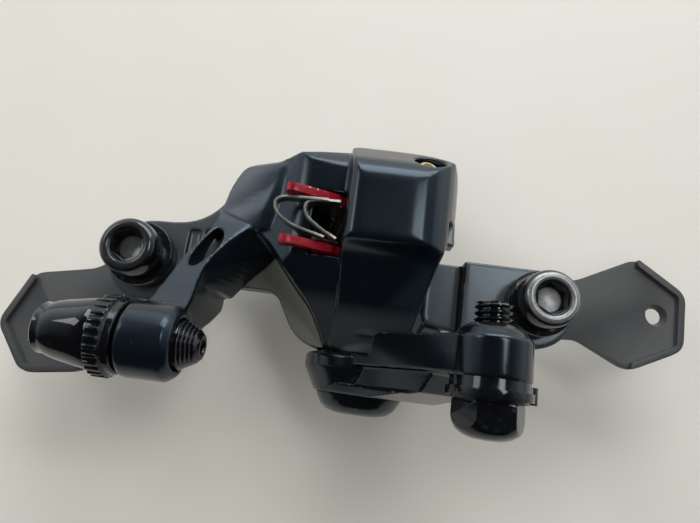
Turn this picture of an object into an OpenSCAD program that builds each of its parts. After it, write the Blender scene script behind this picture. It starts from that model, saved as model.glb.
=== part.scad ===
// Cable-pull disc brake caliper for a bicycle, lying with its mounting bolts upright.
// X runs along the line of the two mounting bolts, +Y points to the wheel, Z along the bolts.
// The origin is the middle of the bolt line, on the lower face of the lower cup washers.

/* [Mounting bolts] */
// Distance between the two mounting bolts
bolt_pitch = 74; // [72:0.5:78]
// Thread diameter of the mounting bolts
bolt_d = 6; // [5.5:0.1:6.4]
// Diameter of the plain shank between a bolt's thread and its head
shank_d = 5.4; // [5.2:0.1:5.8]
// Length of the bolts under the head
bolt_len = 25; // [21:0.5:28]
// Diameter of the bolt heads
head_d = 10; // [9.4:0.1:10.4]
// Height of the bolt heads
head_h = 6; // [5:0.5:7]
// Width across flats of the hex socket in the heads
socket_af = 5; // [4:0.5:5.5]
// Depth of the hex socket
socket_depth = 2.8; // [2:0.2:3.6]

/* [Spherical washers] */
// Outer diameter of the cup washers
cup_d = 12; // [11.6:0.1:12.8]
// Thickness of the cup washers at the rim
cup_h = 2; // [1.8:0.1:2.6]
// Outer diameter of the cone washers
cone_d = 11.2; // [10.8:0.1:11.6]
// Thickness of the flat rim of the cone washers
cone_h = 2.5; // [2.2:0.1:3]
// Radius of the ball face that a cup and a cone share
ball_face_r = 8; // [7.5:0.1:9]
// Bore of the washers
washer_bore = 6.9; // [6.7:0.1:7.4]

/* [Keeper tabs] */
// Thickness of the plastic tabs that hold the bolts in the pack
tab_t = 1.6; // [1.2:0.1:2.2]
// Distance from a bolt to the middle of its tab's hexagon
tab_reach = 24.4; // [23:0.2:27]
// Width of the strap between bolt and hexagon
tab_neck_w = 12.4; // [10.4:0.2:13]
// Distance from the middle of the hexagon to its corners
tab_hex_r = 12; // [10.6:0.2:12.6]
// Height of the raised lip above the tab
tab_lip_h = 1.1; // [0.6:0.1:1.6]
// Thickness of the raised lip
tab_lip_t = 1.7; // [1.2:0.1:2]
// Diameter of the hanging hole in the right tab
tab_hole_d = 3.2; // [2.6:0.2:4]
// Distance of the strap's middle line from the bolt
tab_shift = 2; // [0:0.2:3]
// Turn of the right tab's hexagon against its strap
tab_hex_turn = -7; // [-10:1:0]
// Direction of the right tab, anticlockwise from +X
tab_right_turn = 3; // [-4:1:12]
// Direction of the left tab, anticlockwise from +X
tab_left_turn = 218; // [210:1:224]

/* [Casting] */
// Thickness of the ears that the bolts pass through
ear_t = 6; // [5:0.5:7]
// Radius of the ear ends round the bolts
ear_r = 7.9; // [7.4:0.1:8.6]
// Width of the slotted bolt holes along the bolt line
ear_slot_w = 7; // [6.8:0.1:7.6]
// Length of the slotted bolt holes across the bolt line
ear_slot_l = 10; // [8:0.5:10.6]
// Height of the top of the casting
head_top = 24; // [23.4:0.2:25]
// Height of the underside of the casting, which it rests on
base_z = -14; // [-15:0.2:-13.4]
// Rear face of the casting on the wheel side
rear_y = 26; // [25:0.5:28]
// Outboard face of the neck that the lever turns on
neck_y = -12.6; // [-13.4:0.2:-11.8]
// Radius of the neck at its outboard face
neck_r = 9.6; // [9:0.2:10.4]
// Radius of the bell round the mechanism
bell_r = 14.4; // [14:0.2:15]
// Thickness of the flange round the foot of the casting
foot_t = 4.5; // [3.5:0.5:5.5]

/* [Rotor and pads] */
// Radius of the rotor that the caliper is made for
rotor_r = 80; // [79:0.5:81]
// Thickness of the rotor
rotor_t = 1.8; // [1.6:0.1:2.2]
// Distance from the bolt line to the middle of the rotor, to the wheel side
rotor_y = 9.5; // [9.2:0.1:9.8]
// Distance from the rotor's axle to the middle of the pads
pad_reach = 70; // [69:0.5:71]
// Width of the rotor slot in the casting
slot_w = 4.4; // [4:0.1:5]
// Gap between each pad and the rotor
pad_gap = 0.4; // [0.3:0.05:0.6]
// Thickness of the friction blocks
lining_t = 2.8; // [2:0.1:3]
// Radius of the friction blocks
lining_r = 10.4; // [9.4:0.2:11]
// Thickness of the pads' steel backing plates
plate_t = 1.5; // [1.2:0.1:1.8]
// Radius of the backing plates
plate_r = 11.4; // [11:0.2:11.8]
// Height of the tab at the end of a backing plate
tab_arm_h = 2.8; // [2:0.2:3.4]
// Thickness of the pad spring's strip
spring_t = 0.45; // [0.3:0.05:0.6]
// Width of the pad spring's strip
spring_w = 2.2; // [1.6:0.2:3]

/* [Mechanism] */
// Place of the actuator's axis along the bolt line
act_x = 6.5; // [6:0.1:7]
// Height of the actuator's axis
act_z = -1; // [-1.6:0.1:-0.6]
// Diameter of the bore that the ramps and the pressure foot run in
act_bore = 17; // [16.4:0.2:18]
// Diameter of the actuator shaft
shaft_d = 8; // [7:0.2:9]
// Running clearance of shafts and feet in their bores, on the radius
run_gap = 0.05; // [0.02:0.01:0.09]
// Clearance between ramps, balls and cage
ramp_gap = 0.15; // [0.1:0.05:0.2]
// Diameter of the ramp balls
ball_d = 4; // [3.6:0.2:4.2]
// Number of ramp balls
ball_n = 3; // [3:1:5]
// Radius of the ring on which the ramp balls run
ball_ring_r = 5.6; // [5.2:0.1:5.8]
// Travel of the pressure foot when the lever is pulled
foot_travel = 1; // [0.6:0.1:1.2]
// Bore for the inboard pad's adjuster
adjuster_bore = 16; // [14:0.2:18]

/* [Lever] */
// Height of the cable clamp above the actuator's axis
clamp_rise = 28; // [27:0.5:29]
// Distance of the cable clamp to the right of the actuator's axis
clamp_side = 18.9; // [18:0.5:20]
// Radius of the lever's hub
hub_r = 11.6; // [11.2:0.2:12]
// Length of the lever's hub along its axis
hub_len = 7.4; // [6.8:0.2:8]
// Outer diameter of the boss that the pinch bolt passes through
clamp_boss_d = 12.4; // [11.6:0.2:13]
// Thread diameter of the pinch bolt
pinch_d = 6; // [5:0.5:6.4]
// Width across flats of the pinch bolt's head
pinch_af = 9.6; // [8.8:0.2:10.4]
// Thickness of the clamp washer
clamp_washer_t = 3.2; // [2.6:0.1:3.6]
// Diameter of the brake cable's inner wire
wire_d = 1.6; // [1.4:0.1:1.8]

/* [Cable stop] */
// Height of the cable's axis above the origin
cable_z = 27; // [26:0.2:28]
// Distance of the cable's axis outboard of the bolt line
cable_y = 16; // [15.6:0.1:16.6]
// Outer diameter of the cable boss
boss_d = 11.8; // [11.2:0.2:12.4]
// Place of the boss's right end along the bolt line
boss_end_x = -21.8; // [-22.8:0.2:-20.8]
// Length of the boss
boss_len = 8.2; // [7.4:0.2:9.4]
// Length of the barrel's thread beyond the boss's right end
barrel_proud = 3.4; // [2.4:0.2:4.2]
// Outer diameter of the knurled ring
ring_d = 12.8; // [12.2:0.2:13.6]
// Width of the knurled ring
ring_w = 4; // [3:0.2:5]
// Number of ribs round the knurled ring
ring_ribs = 30; // [20:1:36]
// Length of the barrel outside the ring
barrel_len = 9; // [8:0.5:11]
// Thread diameter of the adjuster barrel
barrel_thread_d = 8; // [7:0.5:8.5]
// Diameter of the cable housing that the barrel takes
housing_d = 5; // [4:0.5:5.5]

/* [Hidden] */
$fn = 64;

paint = "#24272b";
gloss = "#15171a";
steel = "#9a9da0";
bright_steel = "#c9cbc8";
pad_red = "#a3131a";
lining_grey = "#4c4944";
tab_grey = "#3d4045";
brass = "#c2a95c";

// Heights of the stack that each mounting bolt clamps
cone_z = cup_h;
ear_z = cone_z + cone_h;
ear_top = ear_z + ear_t;
upper_cup_z = ear_top + cone_h;
head_z = upper_cup_z + cup_h;

// The rotor's axle, seen along Y, and the direction from it to the pads
pad_turn = 130;
axle_x = act_x - pad_reach * cos(pad_turn);
axle_z = act_z - pad_reach * sin(pad_turn);
slot_r = rotor_r + 1.5;

// Faces of the pads along Y: friction face, face between lining and plate, back of the plate
lining_in = rotor_y + rotor_t / 2 + pad_gap;
plate_in = lining_in + lining_t;
plate_in_back = plate_in + plate_t;
lining_out = rotor_y - rotor_t / 2 - pad_gap;
plate_out = lining_out - lining_t;
plate_out_back = plate_out - plate_t;

// Room for the pads in the casting
pocket_r = plate_r + 0.6;
pocket_side = 0.5;

// The mechanism from the pad outwards
foot_t_total = 5;
foot_back = plate_out_back - foot_t_total;
track_depth = ball_d * 0.3;
ball_y = foot_back - ball_d / 2 + track_depth;
flange_t = 3.4;
flange_front = ball_y - ball_d / 2 + track_depth;
flange_back = flange_front - flange_t;
ramp_t = 1.5;
bore_end_y = flange_back - ramp_t - 0.1;

// The lever, from the neck outwards
hub_in_y = neck_y - 0.3;
hub_out_y = hub_in_y - hub_len;
cap_len = 3.8;
cap_wall = 0.9;
cap_r = hub_r - 2.8;
nut_h = 2.2;
shaft_end_y = hub_out_y - nut_h - 0.4;
cap_out_y = hub_out_y - cap_len;
clamp_x = act_x + clamp_side;
clamp_z = act_z + clamp_rise;
clamp_turn = atan2(clamp_rise, clamp_side);
clamp_reach = norm([clamp_side, clamp_rise]);

// Y of the clamp's face, which the cable's axis just passes
clamp_face_y = -cable_y + wire_d / 2;
clamp_head_y = clamp_face_y - clamp_washer_t;
clamp_boss_y = clamp_face_y + 8.2;

// The adjuster along the cable's axis
boss_back_x = boss_end_x - boss_len;
ring_x = boss_back_x - 0.3;
ring_back_x = ring_x - ring_w;
barrel_end_x = ring_back_x - barrel_len;

// Height of the shoulder beside the raised block, which the pads' tabs and spring clear
shoulder_z = 17.6;

// Cuts back the corners [x, y, cut] of an outline as smooth curves
function unit(v) = v / norm(v);
function soft(c, n = 5) = [
    for (i = [0 : len(c) - 1]) let (
        here = [c[i].x, c[i].y],
        before = c[(i + len(c) - 1) % len(c)],
        after = c[(i + 1) % len(c)],
        back = [before.x, before.y] - here,
        on = [after.x, after.y] - here,
        start = here + unit(back) * min(c[i].z, norm(back) * 0.49),
        end = here + unit(on) * min(c[i].z, norm(on) * 0.49)
    ) each c[i].z == 0
        ? [here]
        : [for (k = [0 : n]) let (s = k / n)
            (1 - s) * (1 - s) * start + 2 * s * (1 - s) * here + s * s * end]
];

// The outline of a belt round two circles, on a line at the angle turn
function arc(c, r, from, to, n) = [
    for (k = [0 : n]) let (a = from + (to - from) * k / n) c + r * [cos(a), sin(a)]
];
function belt(a, ra, b, rb, n = 16) = let (
    turn = atan2(b.y - a.y, b.x - a.x),
    lean = acos((ra - rb) / norm(b - a))
) concat(
    arc(a, ra, turn + lean, turn + 360 - lean, n),
    arc(b, rb, turn - lean, turn + lean, n)
);

// Turns a child drawn on the XZ plane into a plate between two Y faces
module along_y(from, to) {
    translate([0, to, 0]) rotate([90, 0, 0]) linear_extrude(to - from) children();
}

// Turns a child drawn on the YZ plane into a bar between two X faces
module along_x(from, to) {
    translate([from, 0, 0]) rotate([90, 0, 90]) linear_extrude(to - from) children();
}

// A round bar about an axis along Y
module pin_y(x, z, r, from, to) {
    translate([x, to, z]) rotate([90, 0, 0]) cylinder(h = to - from, r = r);
}

// A round bar about an axis along X
module pin_x(y, z, r, from, to) {
    translate([from, y, z]) rotate([0, 90, 0]) cylinder(h = to - from, r = r);
}

// A turned shape about the actuator's axis, from an outline of [radius, y]
module turned_y(outline) {
    translate([act_x, 0, act_z]) rotate([-90, 0, 0]) rotate_extrude() polygon(outline);
}

// The raised block over the pads, with its long slope down to the neck
module raised_block() {
    plan = [
        [-0.6, rear_y - 0.2, 2], [8.6, rear_y + 0.2, 6], [15.5, rear_y - 0.8, 5],
        [20.6, rear_y - 3.6, 5], [20.8, 13, 6], [17.6, 4.6, 6], [15.4, -5, 3],
        [13.6, neck_y, 1], [-0.4, neck_y, 1], [0.4, -5, 3],
    ];
    front = [
        [-1.4, 8, 0], [0.4, head_top, 2.4], [16.8, head_top, 5], [21, 15, 6],
        [21, -6, 6], [15, base_z, 4], [-1.4, base_z, 0],
    ];
    side = [
        [rear_y + 1, base_z, 3], [rear_y + 1, 14.5, 3], [19.4, head_top, 3],
        [5.6, head_top, 1.2], [4.2, head_top - 4.2, 2.5], [neck_y, 7.4, 1],
        [neck_y, -3, 1], [-4.5, base_z, 3],
    ];
    intersection() {
        translate([0, 0, base_z]) linear_extrude(head_top - base_z) polygon(soft(plan));
        along_y(neck_y - 1, rear_y + 2) polygon(soft(front));
        along_x(-3, 22) polygon(soft(side));
    }
}

// The lower shoulder to the left: a ridge along Y, and a side face that turns in towards the front
module left_shoulder() {
    plan = [
        [4, rear_y - 0.2, 0], [-8.6, rear_y - 2, 5], [-14, 22.4, 4], [-21.4, 22, 2.4],
        [-23.6, 17.5, 3], [-24.4, 9, 1], [-17.4, 8.2, 1], [-13.2, 4.4, 2], [-9, -0.8, 3],
        [-4.2, -5.8, 4], [-1.2, neck_y, 1], [4, neck_y, 0],
    ];
    front = [
        [4, shoulder_z, 0], [-3, shoulder_z - 0.2, 2], [-8.7, shoulder_z - 0.6, 1.6], [-25, 7.2, 0],
        [-25, 4, 0], [-15.5, -3, 4], [-8.5, base_z, 4], [4, base_z, 0],
    ];
    side = [
        [rear_y + 1, base_z, 3], [rear_y + 1, 13, 4], [21.6, 17.8, 3],
        [2.4, 17.8, 7], [neck_y, 5.4, 1], [neck_y, -3, 1], [-4.5, base_z, 3],
    ];
    intersection() {
        translate([0, 0, base_z]) linear_extrude(head_top - base_z) polygon(soft(plan));
        along_y(neck_y - 1, rear_y + 2) polygon(soft(front));
        along_x(-26, 5) polygon(soft(side));
        rotate([0, 0, -6]) along_y(-30, 40)
            polygon([[-32, base_z - 1], [-32, -0.2], [6, 31.8], [12, 31.8], [12, base_z - 1]]);
    }
}

// The bell round the mechanism, narrowing to the neck
module bell() {
    turned_y([
        [0, 7], [bell_r, 7], [bell_r, 0], [bell_r - 0.6, -3.4], [neck_r + 1.6, -9.2],
        [neck_r, -10.4], [neck_r, neck_y], [0, neck_y],
    ]);
}

// The two ears round the bolts and the plate between them
module ears() {
    pitch = bolt_pitch / 2;
    function end(side, from, to) = [
        for (p = arc([side * pitch, 0], ear_r, from, to, 16)) [p.x, p.y, 0]
    ];
    left = soft(concat(end(-1, 88, 275), [
        [-29, -7.6, 3], [-20, -3, 1], [-18, 10, 0], [-20.8, 18.6, 0.5], [-22.6, 17.4, 1],
        [-25, 11.8, 5], [-30, ear_r + 0.4, 4],
    ]));
    right = soft(concat([[18, 7.4, 0], [18, -5.4, 0], [29, -7, 4]], end(1, -88, 88)));
    translate([0, 0, ear_z]) linear_extrude(ear_t) {
        polygon(left);
        polygon(right);
    }
}

// Shallow panels in the left ear, with ribs between them, and the deep one in the right ear
panel_depth = 0.7;
rib_t = 0.7;
panel_x = -30.2;
panel_w = 2.3;
module ear_panels() {
    for (k = [0 : 2]) translate([panel_x + k * (panel_w + rib_t), 0, ear_top - panel_depth])
        linear_extrude(2) polygon(soft([
            [0, 1.4 - k, 0.4], [panel_w, 0.6 - k, 0.4], [panel_w, 7 + k, 0.4], [0, 7, 0.4],
        ]));
    translate([17, 0, ear_z + 1.8]) linear_extrude(ear_t) polygon(soft([
        [0, -4.2, 0.5], [6.4, -4.4, 0.8], [7, 6.2, 0.8], [0, 6.4, 0.5],
    ]));
}

// The flange round the foot of the casting
module foot_flange() {
    outline = [
        [-22, -2.4, 2], [-12.6, -2.2, 2.4], [-8.1, -10.2, 3], [-4.2, -12.4, 2],
        [16.4, -12.4, 2], [21.6, -6, 3], [22.6, 7, 2], [22, 24, 4], [0, rear_y, 2], [-14, 21, 4],
        [-22, 17, 3],
    ];
    translate([0, 0, 0.4]) linear_extrude(foot_t) polygon(soft(outline));
}

// The curved wall that climbs from the left ear to the cable boss
module cable_arm() {
    plan = [
        [-23.2, 17, 1], [-24.4, 9.3, 4], [-25.4, 5, 4], [-27.2, 0, 5], [-27.8, -5, 4], [-28.4, -10, 3],
        [-28.8, -cable_y, 0], [boss_end_x - 1.6, -cable_y, 0], [-21.6, -10, 3], [-22.7, -4.8, 4],
        [-22.5, -1, 3], [-21.2, 3, 3], [-19.2, 6.4, 3], [-17.2, 8.8, 1], [-15.5, 15, 0],
    ];
    side = [
        [17.5, 7.4, 0], [9.6, 12.8, 4], [5.6, 15, 3], [0.6, 18.8, 4], [-4.8, 22.8, 4],
        [-10, 27.4, 4], [-cable_y, cable_z + 4.6, 0], [-cable_y, cable_z - 4.6, 2],
        [-11.6, 14, 3], [-7, ear_z, 3], [17.5, ear_z, 0],
    ];
    intersection() {
        linear_extrude(cable_z + boss_d) polygon(soft(plan));
        along_x(-34, -10) polygon(soft(side));
    }
}

// The boss that carries the cable adjuster
module cable_boss() {
    r = boss_d / 2;
    translate([0, -cable_y, cable_z]) rotate([0, 90, 0]) translate([0, 0, boss_back_x])
        rotate_extrude() polygon([
            [0, 0], [r - 0.5, 0], [r, 0.5], [r, boss_len - 1.2], [r - 0.9, boss_len], [0, boss_len],
        ]);
}

// The long slot through the arm beside the left ear
module arm_slot() {
    outline = [
        [-25.9, -0.6, 1], [-25.4, -2.6, 0.8], [-24.2, -2, 0.6], [-22.6, 0.8, 2], [-21.8, 3, 1.5],
        [-22.4, 6.4, 1.5], [-24.1, 6.6, 1], [-25.4, 3.2, 2],
    ];
    translate([0, 0, ear_top - panel_depth]) linear_extrude(20) polygon(soft(outline));
}

// The rotor slot, open to the right and below
module rotor_slot() {
    pin_y(axle_x, axle_z, slot_r, rotor_y - slot_w / 2, rotor_y + slot_w / 2);
}

// Outline of a pad's plate: a disc, a stem towards the window and the tab that hooks over the ridge
function stem_outline(grow) = let (a = [act_x, act_z], b = [-2.9, 14.6])
    belt(a, plate_r * 0.62 + grow, b, 2.6 + grow, 8);

// Room for both pads, the way they go in from the axle's side, and the open window over them
module pad_room() {
    from = plate_out_back - pocket_side;
    to = plate_in_back + pocket_side;
    here = [act_x, act_z];
    way_out = here - 24 * [cos(pad_turn), sin(pad_turn)];
    along_y(from, to) polygon(belt(here, pocket_r, way_out, pocket_r, 24));
    along_y(from, to) {
        polygon(stem_outline(0.6));
        polygon([[-6.1, 12], [-0.3, 12], [-0.3, 22], [-6.1, 22]]);
    }
}

// The bore for the mechanism, the shaft's bore and the bore for the inboard adjuster
module mechanism_bores() {
    pin_y(act_x, act_z, act_bore / 2, bore_end_y, plate_out_back + 1);
    pin_y(act_x, act_z, shaft_d / 2 + run_gap, neck_y - 1, plate_out_back);
    pin_y(act_x, act_z, shaft_d / 2 + 1.6, neck_y - 1, neck_y + 1.8);
    pin_y(act_x, act_z, adjuster_bore / 2, plate_in_back, rear_y + 3);
}

// A slotted bolt hole through an ear
module ear_slot() {
    half = (ear_slot_l - ear_slot_w) / 2;
    for (y = [-half, half]) translate([0, y, -1]) cylinder(h = ear_top + 3, d = ear_slot_w);
    translate([-ear_slot_w / 2, -half, -1]) cube([ear_slot_w, 2 * half, ear_top + 3]);
}

// The lock screw's place on the rear right shoulder
screw_x = 13.8;
screw_y = rear_y - 5.2;
screw_z = 18.4;
screw_d = 3.6;
screw_shank_d = 2.4;
module at_screw() {
    translate([screw_x, screw_y, screw_z]) rotate([-38, 16, 0]) children();
}

module caliper_body() color(paint) difference() {
    union() {
        raised_block();
        left_shoulder();
        bell();
        ears();
        foot_flange();
        cable_arm();
        cable_boss();
    }
    rotor_slot();
    pad_room();
    mechanism_bores();
    for (side = [-1, 1]) translate([side * bolt_pitch / 2, 0, 0]) ear_slot();
    // A flat seat for the washers on top of each ear
    for (side = [-1, 1]) translate([side * bolt_pitch / 2, 0, ear_top]) cylinder(h = 12, r = ear_r);
    arm_slot();
    ear_panels();
    pin_x(-cable_y, cable_z, barrel_thread_d / 2 + run_gap, boss_back_x - 1, boss_end_x + 1);
    at_screw() cylinder(h = 6, d = screw_d + 2);
    at_screw() translate([0, 0, -6]) cylinder(h = 7, d = screw_shank_d + 2 * run_gap);
}

// A socket head bolt, drawn with its head's underside at Z 0, its thread starting below the tab
module mount_bolt() color(gloss) difference() {
    union() {
        translate([0, 0, -bolt_len]) cylinder(h = 0.8, d1 = bolt_d - 1.6, d2 = bolt_d);
        translate([0, 0, 0.8 - bolt_len]) cylinder(h = bolt_len - 0.8 - head_z - tab_t, d = bolt_d);
        translate([0, 0, -head_z - tab_t - 1]) cylinder(h = head_z + tab_t + 2, d = shank_d);
        rotate_extrude() polygon([
            [0, 0], [head_d / 2, 0], [head_d / 2, head_h - 0.9], [head_d / 2 - 0.9, head_h], [0, head_h],
        ]);
    }
    translate([0, 0, head_h - socket_depth]) cylinder(h = head_h, d = socket_af / cos(30), $fn = 6);
    translate([0, 0, head_h - 0.3]) cylinder(h = 1, d1 = socket_af / cos(30), d2 = socket_af / cos(30) + 1.6);
}

// A cup washer with its flat face at Z 0 and its hollow face up
module cup_washer() {
    rise = sqrt(ball_face_r * ball_face_r - cone_d * cone_d / 4);
    color(steel) difference() {
        cylinder(h = cup_h, d = cup_d);
        translate([0, 0, cup_h + rise]) sphere(r = ball_face_r);
        translate([0, 0, -1]) cylinder(h = cup_h + 2, d = washer_bore);
    }
}

// The cone washer that seats in a cup, with its flat face at Z 0 and its ball face down
module cone_washer() {
    rise = sqrt(ball_face_r * ball_face_r - cone_d * cone_d / 4);
    color(gloss) difference() {
        union() {
            translate([0, 0, -cone_h]) cylinder(h = cone_h, d = cone_d);
            intersection() {
                translate([0, 0, -cone_h + rise]) sphere(r = ball_face_r);
                translate([0, 0, -cone_h - 3]) cylinder(h = 3, d = cone_d);
            }
        }
        translate([0, 0, -cone_h - 4]) cylinder(h = cone_h + 5, d = washer_bore);
    }
}

module at_bolt(side, z) {
    translate([side * bolt_pitch / 2, 0, z]) children();
}

module mount_bolt_left() at_bolt(-1, head_z) mount_bolt();
module mount_bolt_right() at_bolt(1, head_z) mount_bolt();
module lower_cup_left() at_bolt(-1, 0) cup_washer();
module lower_cup_right() at_bolt(1, 0) cup_washer();
module lower_cone_left() at_bolt(-1, ear_z) cone_washer();
module lower_cone_right() at_bolt(1, ear_z) cone_washer();
module upper_cone_left() at_bolt(-1, ear_top) mirror([0, 0, 1]) cone_washer();
module upper_cone_right() at_bolt(1, ear_top) mirror([0, 0, 1]) cone_washer();
module upper_cup_left() at_bolt(-1, head_z) mirror([0, 0, 1]) cup_washer();
module upper_cup_right() at_bolt(1, head_z) mirror([0, 0, 1]) cup_washer();

// A plastic tab pushed on a bolt's thread, with its strap along +X and its hexagon at the end
module keeper_tab(shift, turn) {
    r = tab_hex_r;
    w = tab_neck_w / 2;
    middle = [tab_reach, shift];
    function corner(a, cut) = middle + (r - cut) * [cos(a + turn), sin(a + turn)];
    neck_x = tab_reach - 2 * (r - w);
    outline = soft([
        [-w - 0.4, shift / 2 - w, w], [neck_x, shift - w, 1.6], each [for (a = [-90 : 60 : 90]) [
            corner(a, 0).x, corner(a, 0).y, 2.2
        ]], [neck_x, shift + w, 1.6], [-w - 0.4, shift / 2 + w, w],
    ]);
    lip = concat(
        [for (a = [-90 : 60 : 90]) [corner(a, 0.25).x, corner(a, 0.25).y, abs(a) == 90 ? 0.6 : 2.2]],
        [for (a = [90 : -60 : -90]) [corner(a, tab_lip_t).x, corner(a, tab_lip_t).y, 0.6]]
    );
    color(tab_grey) {
        linear_extrude(tab_t) polygon(outline);
        linear_extrude(tab_t + tab_lip_h) polygon(soft(lip));
    }
}

module tab_bore() {
    translate([0, 0, -1]) cylinder(h = tab_t + 2, d = shank_d + 0.1);
}

module keeper_tab_left() at_bolt(-1, -tab_t) rotate(tab_left_turn) difference() {
    keeper_tab(-tab_shift, 0);
    tab_bore();
}

module keeper_tab_right() at_bolt(1, -tab_t) rotate(tab_right_turn) difference() {
    keeper_tab(tab_shift, tab_hex_turn);
    tab_bore();
    translate([tab_reach + 5, tab_shift, -0.1])
        cylinder(h = tab_t + 0.2, d1 = tab_hole_d, d2 = tab_hole_d + 1.4);
}

// The barrel: a threaded shank through the boss and a tapered snout for the housing
module adjuster_barrel() color(gloss) {
    shank = barrel_thread_d / 2;
    snout = 5.5;
    tip = 3.5;
    span = barrel_end_x - ring_back_x;
    far = boss_end_x + barrel_proud - ring_back_x;
    translate([ring_back_x, -cable_y, cable_z]) rotate([0, 90, 0]) difference() {
        rotate_extrude() polygon([
            [0, span], [tip - 0.3, span], [tip, span + 0.4], [tip, span + 1.3],
            [tip + 0.5, span + 1.5], [tip + 1, span + 3.4], [snout - 0.1, -1.6], [snout, -0.8], [snout - 0.4, 0],
            [shank - run_gap, 0], [shank - run_gap, far - 1.6], [shank - 1.7, far - 0.3],
            [shank - 2.1, far], [0, far],
        ]);
        translate([0, 0, span - 1]) cylinder(h = barrel_len - 1, d = housing_d + 0.2);
        translate([0, 0, span - 1]) cylinder(h = 60, d = wire_d + 0.8);
    }
}

// The knurled ring that turns on the barrel's thread
module adjuster_ring() color(gloss) {
    r = ring_d / 2;
    rib_end = ring_w - 1.3;
    translate([ring_back_x + 0.1, -cable_y, cable_z]) rotate([0, 90, 0]) difference() {
        union() {
            rotate_extrude() polygon([
                [0, 0], [r - 1, 0], [r - 0.4, 0.5], [r - 0.4, rib_end], [r - 1.1, rib_end + 0.3],
                [r - 1.1, ring_w - 0.3], [r - 1.3, ring_w - 0.1], [0, ring_w - 0.1],
            ]);
            for (k = [0 : ring_ribs - 1]) rotate(k * 360 / ring_ribs)
                translate([r - 1.25, -0.3, 0.4]) cube([1.25, 0.6, rib_end - 0.3]);
        }
        translate([0, 0, -1]) cylinder(h = ring_w + 2, d = barrel_thread_d + 2 * run_gap);
    }
}

// The lever: a hub round the neck's axis and a channel-shaped arm up to the clamp boss
module lever_arm() color(paint) {
    hub = [act_x, act_z];
    clamp = [clamp_x, clamp_z];
    boss = clamp_boss_d / 2;
    arm_in_y = clamp_face_y + 6.2;
    difference() {
        union() {
            turned_y([
                [0, hub_in_y], [hub_r - 0.6, hub_in_y], [hub_r, hub_in_y - 0.6], [hub_r, hub_in_y - 2.8],
                [hub_r - 0.5, hub_in_y - 3.8], [cap_r + 0.5, hub_out_y + 0.4], [cap_r + 0.2, hub_out_y],
                [0, hub_out_y],
            ]);
            intersection() {
                union() {
                    along_y(hub_in_y - 2, arm_in_y) polygon(belt(hub, 8.6, clamp, boss - 0.2));
                    along_y(hub_out_y, arm_in_y) polygon(belt(hub, 7.2, clamp, boss - 1.8));
                    along_y(hub_out_y, hub_out_y + 1.6) polygon(belt(hub, 9.4, clamp, boss - 0.6));
                }
                // The arm starts clear of the bell and ends at the clamp face
                lever_room(hub, clamp);
            }
            translate([clamp_x, 0, clamp_z]) rotate([-90, 0, 0]) rotate_extrude() polygon([
                [0, clamp_face_y], [boss, clamp_face_y], [boss, clamp_boss_y - 2.4],
                [boss - 1.2, clamp_boss_y - 0.9], [boss - 2.6, clamp_boss_y], [0, clamp_boss_y],
            ]);
        }
        pin_y(act_x, act_z, shaft_d / 2 - 1, hub_out_y - 1, hub_in_y + 1);
        pin_y(act_x, act_z, hub_r - 2, hub_in_y - 3.4, hub_in_y + 1);
        pin_y(clamp_x, clamp_z, pinch_d / 2, clamp_face_y - 1, clamp_face_y + 12);
    }
}

module lever_room(hub, clamp) {
    far = clamp_reach;
    translate([hub.x, 0, hub.y]) rotate([0, -clamp_turn, 0]) linear_extrude(60, center = true) polygon([
        [0, hub_out_y], [14, hub_out_y], [far - 9.6, hub_out_y + 1.9], [far - 7.2, clamp_face_y],
        [far + 9, clamp_face_y], [far + 9, clamp_face_y + 6.2], [far - 8, clamp_face_y + 6.2],
        [15, hub_in_y + 4], [13.4, hub_in_y + 3.6], [12.8, hub_in_y], [0, hub_in_y],
    ]);
}

// The cap over the lever's hub, a blunt cone
module hub_cap() color(paint) turned_y([
    [0, cap_out_y], [cap_r - 4.4, cap_out_y], [cap_r - 2.6, cap_out_y + 0.5], [cap_r - 1.3, cap_out_y + 1.5],
    [cap_r - 0.2, hub_out_y - 0.3], [cap_r - 0.2, hub_out_y], [cap_r - 1.4, hub_out_y],
    [cap_r - 2.9, cap_out_y + 1.7], [cap_r - 3.6, cap_out_y + cap_wall], [0, cap_out_y + cap_wall],
]);

// The nut that holds the lever on the shaft, under the cap
module lever_nut() color(steel) difference() {
    translate([act_x, hub_out_y, act_z]) rotate([90, 0, 0]) cylinder(h = nut_h, d = 9.6, $fn = 6);
    pin_y(act_x, act_z, shaft_d / 2 - 1, hub_out_y - 4, hub_out_y + 1);
}

// The coil that returns the lever, round the shaft inside the hub
module return_spring() color(bright_steel) {
    coil_r = hub_r - 3.4;
    for (k = [0 : 1]) translate([act_x, hub_in_y - 0.9 - 1.6 * k, act_z]) rotate([90, 0, 0])
        rotate_extrude() translate([coil_r, 0]) circle(d = 1.4, $fn = 16);
    translate([act_x + coil_r - 0.7, hub_in_y - 2.6, act_z - 0.5]) cube([1.4, 1.8, 1]);
}

module pinch_bolt() color(gloss) {
    head_y = clamp_head_y;
    corner = pinch_af / cos(30) / 2;
    pin_y(clamp_x, clamp_z, pinch_d / 2 - 0.04, head_y - 1, clamp_boss_y + 3.4);
    intersection() {
        translate([clamp_x, head_y, clamp_z]) rotate([90, 30, 0]) cylinder(h = 5.6, r = corner, $fn = 6);
        translate([clamp_x, 0, clamp_z]) rotate([-90, 0, 0]) rotate_extrude() polygon([
            [0, head_y], [corner, head_y], [corner, head_y - 2.4], [corner - 0.5, head_y - 3.6],
            [corner - 1.4, head_y - 4.6], [corner - 2.8, head_y - 5.3], [0, head_y - 5.6],
        ]);
    }
}

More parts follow.
